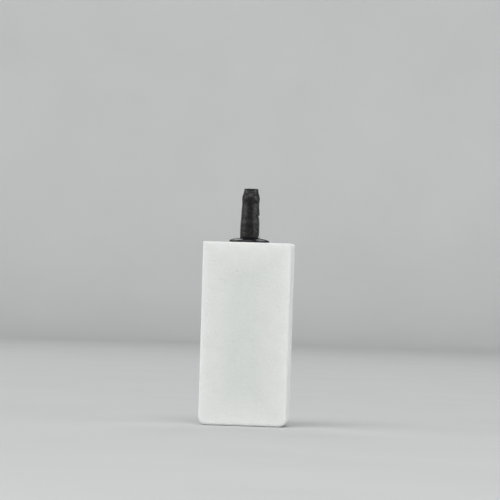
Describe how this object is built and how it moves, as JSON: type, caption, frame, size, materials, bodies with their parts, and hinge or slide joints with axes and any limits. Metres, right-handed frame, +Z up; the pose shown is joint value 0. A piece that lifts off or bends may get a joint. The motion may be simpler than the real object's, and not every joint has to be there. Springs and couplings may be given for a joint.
{
  "type": "aquarium air stone",
  "caption": "Rectangular porous white stone with a black hose nipple on a domed collar, which spreads pumped air into fine bubbles.",
  "frame": {"origin": "centre of the stone's base, which is the centre of the part's lowest face", "axes": "+Z up the hose nipple, +X across the stone's width, -Y out of its front face"},
  "size_m": [0.025, 0.015, 0.0668],
  "materials": {
    "porous_stone": "matte",
    "nipple_plastic": "matte",
    "collar_rubber": "gloss",
    "bond_adhesive": "satin"
  },
  "bodies": {
    "root": {"stone_block": "porous_stone", "hose_nipple": "nipple_plastic", "sealing_collar": "collar_rubber", "bond_sleeve": "bond_adhesive"}
  },
  "joints": []
}
